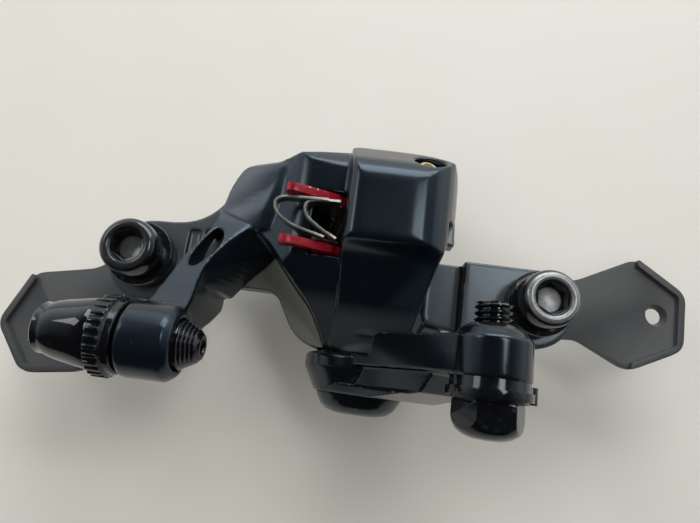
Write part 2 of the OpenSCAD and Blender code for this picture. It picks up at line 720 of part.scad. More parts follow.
// The washer that presses the cable on the boss
module clamp_washer() color(gloss) {
    difference() {
        union() {
            pin_y(clamp_x, clamp_z, 6, clamp_head_y + 1.7, clamp_face_y);
            pin_y(clamp_x, clamp_z, 6.5, clamp_head_y + 0.4, clamp_head_y + 1.7);
            pin_y(clamp_x, clamp_z, 5.8, clamp_head_y, clamp_face_y);
            pin_y(clamp_x + 6.4, clamp_z - 1, 1.2, clamp_head_y + 0.2, clamp_face_y - 0.4);
        }
        pin_y(clamp_x, clamp_z, pinch_d / 2 + 0.15, clamp_head_y - 1, clamp_face_y + 2);
    }
}

// The shaft with its ramp flange, which the lever turns
module actuator_shaft() color(steel) difference() {
    turned_y([
        [0, shaft_end_y], [shaft_d / 2 - 1.4, shaft_end_y], [shaft_d / 2 - 1.05, shaft_end_y + 0.4],
        [shaft_d / 2 - 1.05, hub_in_y - 3.3], [shaft_d / 2, hub_in_y - 3.3], [shaft_d / 2, flange_back],
        [act_bore / 2 - 0.35, flange_back], [act_bore / 2 - 0.35, flange_front], [0, flange_front],
    ]);
    ball_track();
}

// The ring-shaped track of the ramp balls
module ball_track() {
    translate([act_x, ball_y, act_z]) rotate([90, 0, 0]) rotate_extrude()
        translate([ball_ring_r, 0]) circle(d = ball_d + 2 * ramp_gap);
}

module shaft_seal() color("#1b1b1b") turned_y([
    [shaft_d / 2 + run_gap, neck_y + 0.1], [shaft_d / 2 + 1.6, neck_y + 0.1],
    [shaft_d / 2 + 1.6, neck_y + 1.8], [shaft_d / 2 + run_gap, neck_y + 1.8],
]);

// The ramp plate pressed in the end of the bore, which takes the thrust
module fixed_ramp() color(steel) turned_y([
    [shaft_d / 2 + 0.4, bore_end_y], [act_bore / 2, bore_end_y], [act_bore / 2, bore_end_y + ramp_t],
    [shaft_d / 2 + 0.4, bore_end_y + ramp_t],
]);

module ramp_balls() color(bright_steel) for (k = [0 : ball_n - 1]) {
    turn = 90 + k * 360 / ball_n;
    translate([act_x + ball_ring_r * cos(turn), ball_y, act_z + ball_ring_r * sin(turn)]) sphere(d = ball_d);
}

module ball_cage() color(brass) difference() {
    turned_y([
        [ball_ring_r - 3, ball_y - 0.45], [act_bore / 2 - 0.4, ball_y - 0.45],
        [act_bore / 2 - 0.4, ball_y + 0.45], [ball_ring_r - 3, ball_y + 0.45],
    ]);
    for (k = [0 : ball_n - 1]) {
        turn = 90 + k * 360 / ball_n;
        pin_y(act_x + ball_ring_r * cos(turn), act_z + ball_ring_r * sin(turn), ball_d / 2 + 0.1,
            ball_y - 1, ball_y + 1);
    }
}

// The foot that slides in the bore and presses the outboard pad
module pressure_foot() color(steel) difference() {
    turned_y([
        [0, foot_back], [act_bore / 2 - run_gap, foot_back],
        [act_bore / 2 - run_gap, plate_out_back - 0.6], [act_bore / 2 - 0.7, plate_out_back],
        [0, plate_out_back],
    ]);
    ball_track();
}

// A pad's steel plate: disc, stem and the tab that hooks over the ridge
module pad_plate(from) {
    to = from + plate_t;
    tip = [
        [-5.2, 13, 0], [-0.9, 12.6, 0], [-1, 17, 1.2], [-9.8, 20.9, 1.2], [-11.2, 20.4, 1],
        [-11, 20.6 - tab_arm_h, 1], [-9, 21 - tab_arm_h, 1], [-5.4, shoulder_z, 0.5],
    ];
    color(pad_red) {
        pin_y(act_x, act_z, plate_r, from, to);
        along_y(from, to) polygon(stem_outline(0));
        along_y(from, to) polygon(soft(tip));
    }
}

module outboard_pad_plate() pad_plate(plate_out_back);
module inboard_pad_plate() pad_plate(plate_in);

// A friction block, a disc with two flats
module lining(from) {
    color(lining_grey) intersection() {
        pin_y(act_x, act_z, lining_r, from, from + lining_t);
        translate([act_x - lining_r, from - 1, act_z - 9.2]) cube([2 * lining_r, lining_t + 2, 18.4]);
    }
}

module outboard_lining() lining(plate_out);
module inboard_lining() lining(lining_in);

// Places of the pad spring's two legs, just inside the backing plates
spring_out = plate_out + 0.35;
spring_in = plate_in - 0.35;

// The outline of a strip of the pad spring along a path
function side_of(path, i, d) = let (
    a = path[max(i - 1, 0)], b = path[min(i + 1, len(path) - 1)], u = unit([b.x - a.x, b.y - a.y])
) [path[i].x - u.y * d, path[i].y + u.x * d];
function strip(path, t) = concat(
    [for (i = [0 : len(path) - 1]) side_of(path, i, t / 2)],
    [for (i = [len(path) - 1 : -1 : 0]) side_of(path, i, -t / 2)]
);

// One bow of the pad spring, a strip bent over the rotor from one leg to the other
module spring_bow(x, z, end_x) {
    t = spring_t;
    corners = soft([
        [end_x, spring_in - t / 2, 0], [x + t / 2, spring_in - 0.6, 2.6], [x + t / 2, rotor_y + 0.4, 2.2],
        [x + 3.4, rotor_y - 2, 2.4], [end_x, spring_out + t / 2, 0],
    ], 7);
    translate([0, 0, z]) linear_extrude(spring_w) polygon(strip(corners, t));
}

// The pad spring: two bows over the rotor, joined by a leg along each pad
module pad_spring() color(bright_steel) {
    spring_bow(-13, 17.6, -3.2);
    spring_bow(-7.6, 17.35, -1.1);
    leg = [[-3.8, 10.5], [-0.9, 10.5], [-0.9, 16.8], [-3.4, 17.8], [-5.4, 18.4], [-5.4, 13.5]];
    along_y(spring_in - spring_t - 0.02, spring_in - 0.02) polygon(leg);
    along_y(spring_out + 0.02, spring_out + spring_t + 0.02) polygon(leg);
}

// The knob and screw that set the inboard pad
module inboard_adjuster() color(gloss) {
    knob_r = adjuster_bore / 2 - run_gap;
    difference() {
        union() {
            turned_y([
                [0, plate_in_back + 3.2], [knob_r, plate_in_back + 3.2], [knob_r, rear_y - 1],
                [knob_r - 0.6, rear_y + 1.6], [0, rear_y + 1.6],
            ]);
        }
        translate([act_x, rear_y - 2.4, act_z]) rotate([-90, 0, 0]) cylinder(h = 6, d = 5 / cos(30), $fn = 6);
        for (k = [0 : 11]) translate([act_x, rear_y - 0.2, act_z]) rotate([0, k * 30, 0])
            translate([knob_r + 0.3, 0, 0]) rotate([-90, 0, 0]) cylinder(h = 3, r = 0.9);
        adjuster_groove();
    }
}

groove_y = rear_y - 5;
module adjuster_groove() {
    difference() {
        pin_y(act_x, act_z, adjuster_bore / 2 + 1, groove_y - 0.9, groove_y + 0.9);
        pin_y(act_x, act_z, adjuster_bore / 2 - 1.5, groove_y - 2, groove_y + 2);
    }
}

module adjuster_seal() color("#1b1b1b") translate([act_x, groove_y, act_z]) rotate([90, 0, 0])
    rotate_extrude() translate([adjuster_bore / 2 - 0.82, 0]) circle(d = 1.3, $fn = 24);

// The disc that carries the inboard pad
module inboard_foot() color(steel) pin_y(act_x, act_z, adjuster_bore / 2 - 0.4, plate_in_back, plate_in_back + 3);

// The small brass screw in the rear right shoulder
module lock_screw() color(brass) at_screw() difference() {
    union() {
        translate([0, 0, -5]) cylinder(h = 6, d = screw_shank_d);
        rotate_extrude() polygon([
            [0, 0], [screw_d / 2, 0], [screw_d / 2, 1.2], [screw_d / 2 - 0.4, 1.6], [0, 1.6],
        ]);
    }
    translate([0, 0, 0.5]) cylinder(h = 3, d = 2 / cos(30), $fn = 6);
}

caliper_body();
mount_bolt_left();
mount_bolt_right();
lower_cup_left();
lower_cup_right();
lower_cone_left();
lower_cone_right();
upper_cone_left();
upper_cone_right();
upper_cup_left();
upper_cup_right();
keeper_tab_left();
keeper_tab_right();
adjuster_barrel();
adjuster_ring();
lever_arm();
hub_cap();
lever_nut();
return_spring();
pinch_bolt();
clamp_washer();
actuator_shaft();
shaft_seal();
fixed_ramp();
ramp_balls();
ball_cage();
pressure_foot();
outboard_pad_plate();
outboard_lining();
inboard_pad_plate();
inboard_lining();
pad_spring();
inboard_adjuster();
adjuster_seal();
inboard_foot();
lock_screw();
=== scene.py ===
# %% [markdown]
# # A cable disc brake caliper, from its CAD frame to its looks
#
# The caliper squeezes two pads on a steel rotor when a cable pulls its lever. It lies on a pale
# table with its two mounting bolts upright. The CAD model gives every piece its size and place.
# In this lesson the pieces get the soft edges, threads, springs and finishes of the real object.
#
# All lengths in Blender are in metres, so a value in millimetres is multiplied by MM.

# %% Load the frame
import math
import bmesh
import bpy
import numpy as np
from mathutils import Matrix, Vector


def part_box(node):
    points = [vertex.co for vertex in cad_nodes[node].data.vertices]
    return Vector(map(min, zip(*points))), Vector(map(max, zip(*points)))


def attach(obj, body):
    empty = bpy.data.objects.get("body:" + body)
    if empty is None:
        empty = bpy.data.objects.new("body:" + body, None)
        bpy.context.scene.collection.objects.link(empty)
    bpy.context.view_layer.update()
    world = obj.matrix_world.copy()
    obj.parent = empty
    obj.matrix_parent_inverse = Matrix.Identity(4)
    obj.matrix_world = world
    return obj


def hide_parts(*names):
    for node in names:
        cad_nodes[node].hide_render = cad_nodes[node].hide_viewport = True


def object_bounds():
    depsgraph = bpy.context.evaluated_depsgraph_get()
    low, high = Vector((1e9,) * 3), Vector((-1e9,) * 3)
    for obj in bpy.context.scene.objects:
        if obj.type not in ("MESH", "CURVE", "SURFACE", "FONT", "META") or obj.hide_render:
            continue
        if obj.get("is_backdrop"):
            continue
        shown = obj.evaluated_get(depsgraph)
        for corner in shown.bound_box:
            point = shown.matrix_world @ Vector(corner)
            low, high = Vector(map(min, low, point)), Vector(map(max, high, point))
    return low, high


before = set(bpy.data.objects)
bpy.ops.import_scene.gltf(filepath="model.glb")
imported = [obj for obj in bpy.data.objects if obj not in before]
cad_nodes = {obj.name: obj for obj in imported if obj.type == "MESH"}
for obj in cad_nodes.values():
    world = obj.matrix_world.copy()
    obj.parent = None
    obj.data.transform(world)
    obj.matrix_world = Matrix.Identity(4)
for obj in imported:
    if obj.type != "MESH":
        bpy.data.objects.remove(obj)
cad_low, cad_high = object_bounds()
MM = 0.001
WELD = 0.002 * MM  # points closer together than this are made one
print("CAD box in mm:", [round(v / MM, 1) for v in (*cad_low, *cad_high)])

# %% [markdown]
# ## Camera
#
# The photograph is taken with a phone held close over the table, so near parts look larger than
# far ones. The camera was found by matching the two bolts and the table's plane: it hangs 105 mm
# above the bolt line and looks almost straight down, turned by 7 degrees. A short lens that close
# gives the strong perspective of a phone.

# %% Camera
picture_right = Vector((0.99189, 0.12706, 0.0))
picture_down = Vector((0.12329, -0.96243, -0.24192))
view_line = Vector((-0.03074, 0.23996, -0.97030))
camera_place = Vector((0.004677, -0.019028, 0.105088))
camera_data = bpy.data.cameras.new("phone_camera")
camera_data.sensor_width, camera_data.lens = 36.0, 25.97
camera_data.clip_start, camera_data.clip_end = 0.005, 20.0
camera = bpy.data.objects.new("phone_camera", camera_data)
camera.matrix_world = Matrix((
    (picture_right.x, -picture_down.x, -view_line.x, camera_place.x),
    (picture_right.y, -picture_down.y, -view_line.y, camera_place.y),
    (picture_right.z, -picture_down.z, -view_line.z, camera_place.z),
    (0, 0, 0, 1),
))
bpy.context.scene.collection.objects.link(camera)
bpy.context.scene.camera = camera
print("camera height in mm:", round(camera.location.z / MM, 1))

# %% [markdown]
# ## Small helpers
#
# So each step first selects only its own object. A finished piece keeps its place in its mesh,
# with its object at the origin, because patterns are laid out in object coordinates.

# %% Selecting, settling and finishing
def take(obj):
    """Selects one object and makes it the active one."""
    if bpy.context.object and bpy.context.object.mode != "OBJECT":
        bpy.ops.object.mode_set(mode="OBJECT")
    bpy.ops.object.select_all(action="DESELECT")
    obj.hide_set(False)
    obj.select_set(True)
    bpy.context.view_layer.objects.active = obj
    return obj


def settle(obj):
    """Moves an object's place, turn and scale into its mesh."""
    take(obj)
    bpy.ops.object.transform_apply(location=True, rotation=True, scale=True)
    return obj


def add_modifier(obj, kind, **settings):
    """Adds a modifier with its settings and applies it at once."""
    take(obj)
    modifier = obj.modifiers.new(kind.title(), kind)
    for key, value in settings.items():
        setattr(modifier, key, value)
    bpy.ops.object.modifier_apply(modifier=modifier.name)
    return obj


def smooth(obj, degrees=35):
    """Shades faces smooth, except across edges sharper than the angle."""
    take(obj)
    bpy.ops.object.shade_smooth_by_angle(angle=math.radians(degrees))
    return obj


def merged_copy(node, name):
    """Copies a CAD piece and merges its loose triangles into one skin."""
    copy = bpy.data.objects.new(name, cad_nodes[node].data.copy())
    copy.data.materials.clear()
    bpy.context.scene.collection.objects.link(copy)
    take(copy)
    bpy.ops.object.mode_set(mode="EDIT")
    bpy.ops.mesh.select_all(action="SELECT")
    bpy.ops.mesh.customdata_custom_splitnormals_clear()
    bpy.ops.mesh.remove_doubles(threshold=WELD)
    bpy.ops.mesh.dissolve_limited(angle_limit=math.radians(1.0))
    bpy.ops.object.mode_set(mode="OBJECT")
    return copy


def join(pieces, name):
    """Joins several objects into the first of them."""
    take(pieces[0])
    for piece in pieces[1:]:
        piece.select_set(True)
    bpy.ops.object.join()
    joined = bpy.context.object
    joined.name = name
    joined.data.name = name
    return joined

print("helpers are ready")

# %% [markdown]
# ## Drawing, turning, threading and bevelling
#
# Bolts, washers, knobs and barrels are turned pieces, so each is drawn as half of its outline and
# spun round its axis. The outline grows out of a single vertex, extruded from point to point. A
# thread is one tooth of the outline, wound along the axis by the Screw modifier, and cut flat at
# both ends. Then the Bevel modifier breaks each sharp edge, because it is the broken edge that
# catches the light on a real piece.

# %% Turning and threading
RIGHT, BACK, UP = Vector((1, 0, 0)), Vector((0, 1, 0)), Vector((0, 0, 1))


def trace(name, points):
    """Draws a line through points, extruding one vertex from each to the next."""
    take(camera)
    bpy.ops.mesh.primitive_plane_add(size=MM, location=points[0])
    line = bpy.context.object
    line.name = line.data.name = name
    bpy.ops.object.mode_set(mode="EDIT")
    bpy.ops.mesh.select_all(action="SELECT")
    bpy.ops.mesh.merge(type="CENTER")
    for start, end in zip(points, points[1:]):
        bpy.ops.mesh.extrude_region_move(TRANSFORM_OT_translate={"value": end - start})
    return line


def close_skin(obj):
    """Merges doubled points and turns all faces outwards."""
    take(obj)
    bpy.ops.object.mode_set(mode="EDIT")
    bpy.ops.mesh.select_all(action="SELECT")
    bpy.ops.mesh.remove_doubles(threshold=WELD)
    bpy.ops.mesh.normals_make_consistent(inside=False)
    return settle(obj)


def turned(name, centre, axis, outline, steps=72):
    """Spins an outline of (radius, distance along the axis) in mm round an axis."""
    side = UP if abs(axis.z) < 0.5 else RIGHT
    line = trace(name, [centre + (side * r + axis * h) * MM for r, h in outline])
    bpy.ops.mesh.select_all(action="SELECT")
    bpy.ops.mesh.spin(steps=steps, angle=math.tau, center=centre, axis=axis)
    return close_skin(line)


def threaded(name, centre, axis, radius, length, pitch=1.0, steps=32):
    """A threaded rod of a length in mm, from centre along axis."""
    core = radius - 0.6 * pitch
    tooth = [(core, 0.0), (core, 0.12), (radius, 0.44), (radius, 0.56), (core, 0.88), (core, 1.0)]
    rod = settle(trace(name, [Vector((r, 0, h * pitch)) * MM for r, h in tooth]))
    turns = math.ceil(length / pitch) + 1
    add_modifier(rod, "SCREW", axis="Z", angle=math.tau, screw_offset=pitch * MM, iterations=turns,
                 steps=steps, render_steps=steps, use_merge_vertices=True, merge_threshold=WELD)
    take(rod)
    bpy.ops.object.mode_set(mode="EDIT")
    for height, outside in ((0.5 * pitch, -UP), (0.5 * pitch + length, UP)):
        bpy.ops.mesh.select_all(action="SELECT")
        bpy.ops.mesh.bisect(plane_co=UP * height * MM, plane_no=outside, use_fill=True,
                            clear_outer=True)
    bpy.ops.mesh.select_all(action="SELECT")
    bpy.ops.transform.translate(value=-UP * 0.5 * pitch * MM)
    close_skin(rod)
    rod.rotation_euler = axis.to_track_quat("Z", "Y").to_euler()
    rod.location = centre
    return settle(rod)


def bevelled(obj, width, rounds=3, degrees=28):
    """Rounds an object's sharp edges to a width in mm."""
    add_modifier(obj, "BEVEL", width=width * MM, segments=rounds, limit_method="ANGLE",
                 angle_limit=math.radians(degrees), use_clamp_overlap=True, miter_outer="MITER_ARC")
    return smooth(obj, 40)


def cut_away(obj, tool):
    """Cuts one closed object out of another, and deletes the cutter."""
    add_modifier(obj, "BOOLEAN", operation="DIFFERENCE", object=tool, solver="EXACT")
    bpy.data.objects.remove(tool)
    return obj


def finish_piece(obj, finish, body, slot, *nodes):
    """Gives a new piece its finish and body, and hides the CAD nodes it stands for."""
    paint_all(finish, obj)
    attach(obj, body)
    if nodes:
        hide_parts(*nodes)
    return obj

print("turning tools are ready")

# %% [markdown]
# ## Materials as node graphs
#
# Every finish here is built on the Principled shader with procedural noise, so that it has no
# picture and looks right from any side. A small class keeps the graphs short: it adds a node,
# sets its numbers and returns its output. Noise scales are per metre, so a scale of 1000 gives
# spots of about a millimetre.

# %% A class for finishes
class Finish:
    """One material, with short calls for the nodes that it needs."""

    def __init__(self, name, **sockets):
        self.material = bpy.data.materials.new(name)
        self.material.use_nodes = True
        self.tree = self.material.node_tree
        self.shader = self.tree.nodes["Principled BSDF"]
        self.place = self.node("ShaderNodeTexCoord").outputs["Object"]
        self.set(**sockets)

    def set(self, **sockets):
        for key, value in sockets.items():
            socket = self.shader.inputs[key.replace("_", " ")]
            if isinstance(value, bpy.types.NodeSocket):
                self.tree.links.new(value, socket)
            else:
                socket.default_value = (*value, 1) if isinstance(value, tuple) else value

    def node(self, kind, **settings):
        made = self.tree.nodes.new(kind)
        for key, value in settings.items():
            if key in made.inputs:
                if isinstance(value, bpy.types.NodeSocket):
                    self.tree.links.new(value, made.inputs[key])
                else:
                    made.inputs[key].default_value = value
            else:
                setattr(made, key, value)
        return made

    def noise(self, scale, detail=3.0, stretch=None):
        place = self.place
        if stretch:
            place = self.node("ShaderNodeMapping", Vector=place, Scale=stretch).outputs[0]
        return self.node("ShaderNodeTexNoise", Vector=place, Scale=scale, Detail=detail).outputs[0]

    def steps(self, value, *stops):
        """A ramp from (place, grey or colour) stops."""
        ramp = self.node("ShaderNodeValToRGB", Fac=value)
        elements = ramp.color_ramp.elements
        while len(elements) < len(stops):
            elements.new(0.5)
        for element, (where, colour) in zip(elements, stops):
            element.position = where
            element.color = (*colour, 1) if isinstance(colour, tuple) else (colour,) * 3 + (1,)
        return ramp.outputs[0]

    def mix(self, share, first, second):
        made = self.node("ShaderNodeMix", data_type="RGBA")
        for index, value in ((0, share), (6, first), (7, second)):
            if isinstance(value, bpy.types.NodeSocket):
                self.tree.links.new(value, made.inputs[index])
            else:
                made.inputs[index].default_value = (
                    (*value, 1) if isinstance(value, tuple) else value)
        return made.outputs[2]

    def maths(self, operation, first, second=0.0):
        made = self.node("ShaderNodeMath", operation=operation)
        for index, value in enumerate((first, second)):
            if isinstance(value, bpy.types.NodeSocket):
                self.tree.links.new(value, made.inputs[index])
            else:
                made.inputs[index].default_value = value
        return made.outputs[0]

    def product(self, *values):
        """Multiplies several values, one after the other."""
        result = values[0]
        for value in values[1:]:
            result = self.maths("MULTIPLY", result, value)
        return result

    def split(self, vector):
        """The X, Y and Z of a vector."""
        return self.node("ShaderNodeSeparateXYZ", Vector=vector).outputs

    def bump(self, height, depth, strength=1.0, below=None):
        """Turns a height into a bump, depth in metres; below is a bump under this one."""
        made = self.node("ShaderNodeBump", Height=height, Distance=depth, Strength=strength)
        if below is not None:
            self.tree.links.new(below, made.inputs["Normal"])
        return made.outputs[0]


def paint_all(finish, *objects):
    """Gives objects one finish."""
    for obj in objects:
        obj.data.materials.clear()
        obj.data.materials.append(finish.material)

print("the finish class is ready")

# %% [markdown]
# ### Black paint on a casting
#
# The body and the lever are cast aluminium under glossy black paint. The casting's grain shows
# through as a faint unevenness of about a third of a millimetre, the paint's gloss varies in
# clouds, and small specks of dust sit on it. On sharp corners the paint is worn to grey. The mesh
# carries an attribute named worn, which is high on its convex edges, and noise breaks it up.
#
# On the ears and on the foot's flange, which lie low, the upward faces are painted lighter grey. On
# the ears this is painted sheen, standing in for the light their flats catch. On the foot it is a
# painted reflection of the pale table, together with grey metal showing through the paint. Those
# are the upward faces below 13.8 mm, so a ramp on the height finds them. A ramp runs from 0 to 1,
# so the height in metres is scaled first.

# %% Black paint
HEIGHT_SCALE = 50  # the whole ramp is 20 mm high
# The greys of the painted sheen on low upward faces: the foot's, and the ears'.
FOOT_SHEEN_GREY, EAR_SHEEN_GREY = (0.17, 0.17, 0.155), (0.062, 0.067, 0.072)
BARE_METAL, DUST = (0.30, 0.31, 0.32), (0.20, 0.21, 0.20)


def paint_low_sheen(finish, base, top):
    """Mixes low upward faces towards grey as a painted sheen: the foot's, below 5 to 6 mm, and the
    ears', to top.
    """
    upward = finish.split(finish.node("ShaderNodeNewGeometry").outputs["Normal"])[2]
    height = finish.maths("MULTIPLY", finish.split(finish.place)[2], HEIGHT_SCALE)
    sheen_share = finish.product(finish.steps(upward, (0.60, 0.0), (0.9, 1.0)),
                          finish.steps(height, (top - 0.1, 1.0), (top, 0.0)))
    grey = finish.steps(height, (0.25, FOOT_SHEEN_GREY), (0.3, EAR_SHEEN_GREY))
    return finish.mix(sheen_share, base, grey)


def black_paint(name, colour, gloss, wear, sheen_top=None):
    finish = Finish(name, Specular_IOR_Level=0.5, Specular_Tint=(0.60, 0.80, 1.0),
                    Coat_Weight=0.12, Coat_Roughness=0.12)
    clouds = finish.noise(160, 4)
    grain = finish.noise(2600, 2)
    specks = finish.steps(finish.noise(900, 1), (0.74, 0.0), (0.78, 1.0))
    edge = finish.node("ShaderNodeAttribute", attribute_name="worn").outputs["Fac"]
    rubbed = finish.product(edge, finish.steps(finish.noise(520, 5), (0.42, 0.0), (0.62, 1.0)))
    bare = finish.steps(rubbed, (0.30, 0.0), (0.62, wear))
    base = finish.mix(clouds, tuple(c * 0.82 for c in colour), tuple(c * 1.25 for c in colour))
    # Low upward faces get a painted sheen: they are mixed towards grey.
    if sheen_top:
        base = paint_low_sheen(finish, base, sheen_top)
    dusty = finish.mix(finish.product(specks, 0.05), base, DUST)
    waves = finish.bump(finish.noise(420, 2), 0.035 * MM, 0.35)
    finish.set(
        Base_Color=finish.mix(bare, dusty, BARE_METAL),
        Metallic=finish.product(bare, 0.8),
        Roughness=finish.maths("ADD", finish.product(clouds, 0.10), gloss),
        Normal=finish.bump(grain, 0.010 * MM, 0.5, waves),
    )
    return finish


# On the casting, the painted sheen reaches up to 13.8 mm, which is 0.69 of the ramp.
casting_paint = black_paint("casting_paint", (0.0038, 0.0062, 0.0092), 0.19, 0.30, sheen_top=0.69)
lever_paint = black_paint("lever_paint", (0.0032, 0.0042, 0.0056), 0.12, 0.30)
print("paints:", casting_paint.material.name, lever_paint.material.name)

# %% [markdown]
# ### Plated and bright steel
#
# Bolts, washers, ring and barrel are black plated: deep black, glossy, and rubbed to grey in
# spots. The pad spring and the inner pieces are bare steel. Fine lines of stretched noise stand
# for the marks of turning, and the roughness follows them.

# %% Steels
PLATING = (0.0055, 0.006, 0.0075)


def plated_steel(name, colour, gloss, rub, metal=0.35):
    finish = Finish(name, Specular_IOR_Level=0.5, Specular_Tint=(0.85, 0.92, 1.0), Metallic=metal,
                    Coat_Roughness=0.05, Coat_Weight=0.25)
    rubbed = finish.steps(finish.noise(900, 5), (0.56, 0.0), (0.70, 1.0))
    finish.set(
        Base_Color=finish.mix(finish.product(rubbed, rub), colour, (0.10, 0.105, 0.11)),
        Roughness=finish.maths("ADD", finish.product(rubbed, rub * 0.6), gloss),
        Normal=finish.bump(finish.noise(1200, 3), 0.006 * MM, 0.4),
    )
    return finish


def bare_steel(name, colour, gloss, lines=(1.0, 1.0, 6.0)):
    finish = Finish(name, Metallic=1.0, Specular_IOR_Level=0.5)
    marks = finish.noise(1400, 2, lines)
    stains = finish.steps(finish.noise(260, 4), (0.35, 0.78), (0.7, 1.0))
    finish.set(
        Base_Color=finish.mix(stains, tuple(c * 0.62 for c in colour), colour),
        Roughness=finish.maths("ADD", finish.product(marks, 0.16), gloss),
        Normal=finish.bump(marks, 0.008 * MM, 0.6),
    )
    return finish


bolt_black = plated_steel("bolt_black", PLATING, 0.12, 0.12)
washer_black = plated_steel("washer_black", (0.008, 0.009, 0.011), 0.22, 0.25)
barrel_black = plated_steel("barrel_black", (0.004, 0.004, 0.006), 0.06, 0.04, 0.1)
washer_steel = bare_steel("washer_steel", (0.52, 0.53, 0.54), 0.20)
spring_steel = bare_steel("spring_steel", (0.62, 0.62, 0.58), 0.22)
shaft_steel = bare_steel("shaft_steel", (0.42, 0.42, 0.42), 0.26, (1.0, 8.0, 1.0))
steels = (bolt_black, washer_black, barrel_black, washer_steel, spring_steel, shaft_steel)
print("steels:", len(steels))

# %% [markdown]
# ### Worn bolt heads
#
# A key rubs the plating off the top of a bolt's head, and dust gathers on the socket's floor. Both
# marks are round, so they are found by the distance from the bolt's axis and the depth under its
# top. On the photographed object the right bolt is worn much more than the left one.

# %% Worn bolt heads
RADIUS_SCALE = 100  # the whole ramp is 10 mm long
RUBBED_STEEL = (0.36, 0.365, 0.37)


def bolt_finish(name, middle, top, rim, dust):
    """Black plating, rubbed to steel on the head's rim, with dust on the socket's floor."""
    finish = plated_steel(name, PLATING, 0.12, 0.12)
    apart = finish.node("ShaderNodeVectorMath", operation="SUBTRACT")
    finish.tree.links.new(finish.place, apart.inputs[0])
    apart.inputs[1].default_value = (middle.x, middle.y, top)
    aside, back, up = finish.split(apart.outputs[0])
    flat = finish.node("ShaderNodeCombineXYZ", X=aside, Y=back).outputs[0]
    away = finish.node("ShaderNodeVectorMath", operation="LENGTH", Vector=flat).outputs["Value"]
    radius = finish.maths("MULTIPLY", away, RADIUS_SCALE)
    depth = finish.maths("MULTIPLY", up, -RADIUS_SCALE)
    patches = finish.steps(finish.noise(1500, 4), (0.30, 0.70), (0.62, 1.0))
    ring = finish.product(finish.steps(radius, (0.30, 0.0), (0.33, 1.0)),
                          finish.steps(radius, (0.43, 1.0), (0.46, 0.0)),
                          finish.steps(depth, (0.02, 1.0), (0.06, 0.0)))
    disc = finish.product(finish.steps(radius, (0.20, 1.0), (0.235, 0.0)),
                          finish.steps(depth, (0.20, 0.0), (0.24, 1.0)),
                          finish.steps(depth, (0.34, 1.0), (0.38, 0.0)))
    marked = finish.maths("MAXIMUM", finish.product(ring, patches, rim),
                          finish.product(disc, patches, dust))
    plated = finish.shader.inputs["Base Color"].links[0].from_socket
    finish.set(
        Base_Color=finish.mix(marked, plated, RUBBED_STEEL),
        Metallic=finish.maths("ADD", finish.product(ring, rim * 0.4), 0.2),
        Roughness=finish.maths("ADD", finish.product(marked, 0.25), 0.13),
    )
    return finish

print("worn bolt heads are ready")

# %% [markdown]
# ### Plastic, rubber, red pads, friction blocks and yellow plate
#
# The keeper tabs are matt moulded plastic with a fine grain and pale scuffs. The pads' plates are
# steel under red paint, chipped at their bends. The friction blocks are pressed metal powder, so
# they get dark and light grains. The lock screw and the ball cage are plated yellow.

# %% The other finishes
def tab_plastic_finish():
    finish = Finish("tab_plastic", Specular_IOR_Level=0.42)
    grain = finish.noise(3200, 3)
    scuffs = finish.steps(finish.noise(330, 6, (1.0, 3.5, 1.0)), (0.60, 0.0), (0.74, 1.0))
    base = finish.mix(finish.noise(120, 3), (0.044, 0.046, 0.049), (0.060, 0.062, 0.065))
    finish.set(
        Base_Color=finish.mix(finish.product(scuffs, 0.2), base, (0.10, 0.10, 0.10)),
        Roughness=finish.steps(grain, (0.3, 0.36), (0.7, 0.50)),
        Normal=finish.bump(grain, 0.02 * MM, 0.7),
    )
    return finish


def pad_red_finish():
    finish = Finish("pad_red", Specular_IOR_Level=0.35)
    chips = finish.steps(finish.noise(780, 5), (0.66, 0.0), (0.69, 1.0))
    tone = finish.mix(finish.noise(300, 3), (0.17, 0.003, 0.010), (0.32, 0.007, 0.016))
    finish.set(
        Base_Color=finish.mix(chips, tone, (0.45, 0.42, 0.40)),
        Metallic=finish.product(chips, 0.9),
        Roughness=finish.steps(finish.noise(500, 3), (0.3, 0.16), (0.7, 0.32)),
        Normal=finish.bump(finish.maths("SUBTRACT", 1.0, chips), 0.03 * MM, 0.8),
    )
    return finish


def lining_finish():
    finish = Finish("friction_block", Specular_IOR_Level=0.4)
    cells = finish.node("ShaderNodeTexVoronoi", Vector=finish.place, Scale=2400.0)
    grey = finish.node("ShaderNodeSeparateColor", Color=cells.outputs["Color"]).outputs[0]
    finish.set(
        Base_Color=finish.steps(grey, (0.0, (0.035, 0.032, 0.030)), (0.7, (0.085, 0.078, 0.070)),
                                (0.93, (0.12, 0.09, 0.06)), (0.97, (0.42, 0.38, 0.32))),
        Metallic=finish.steps(grey, (0.93, 0.0), (0.96, 0.8)),
        Roughness=finish.steps(grey, (0.2, 0.85), (1.0, 0.5)),
        Normal=finish.bump(finish.noise(2400, 4), 0.05 * MM, 0.8),
    )
    return finish


def yellow_plate_finish():
    finish = Finish("yellow_plate", Metallic=0.85, Specular_IOR_Level=0.5)
    cloud = finish.noise(800, 3)
    finish.set(
        Base_Color=finish.mix(cloud, (0.60, 0.50, 0.20), (0.66, 0.62, 0.42)),
        Roughness=finish.steps(cloud, (0.3, 0.24), (0.7, 0.40)),
        Normal=finish.bump(finish.noise(3000, 2), 0.008 * MM, 0.5),
    )
    return finish


def rubber_finish():
    finish = Finish("seal_rubber", Specular_IOR_Level=0.35)
    grain = finish.noise(1800, 3)
    finish.set(
        Base_Color=finish.mix(grain, (0.008, 0.008, 0.008), (0.018, 0.018, 0.019)),
        Roughness=finish.steps(grain, (0.3, 0.55), (0.7, 0.75)),
        Normal=finish.bump(grain, 0.02 * MM, 0.6),
    )
    return finish


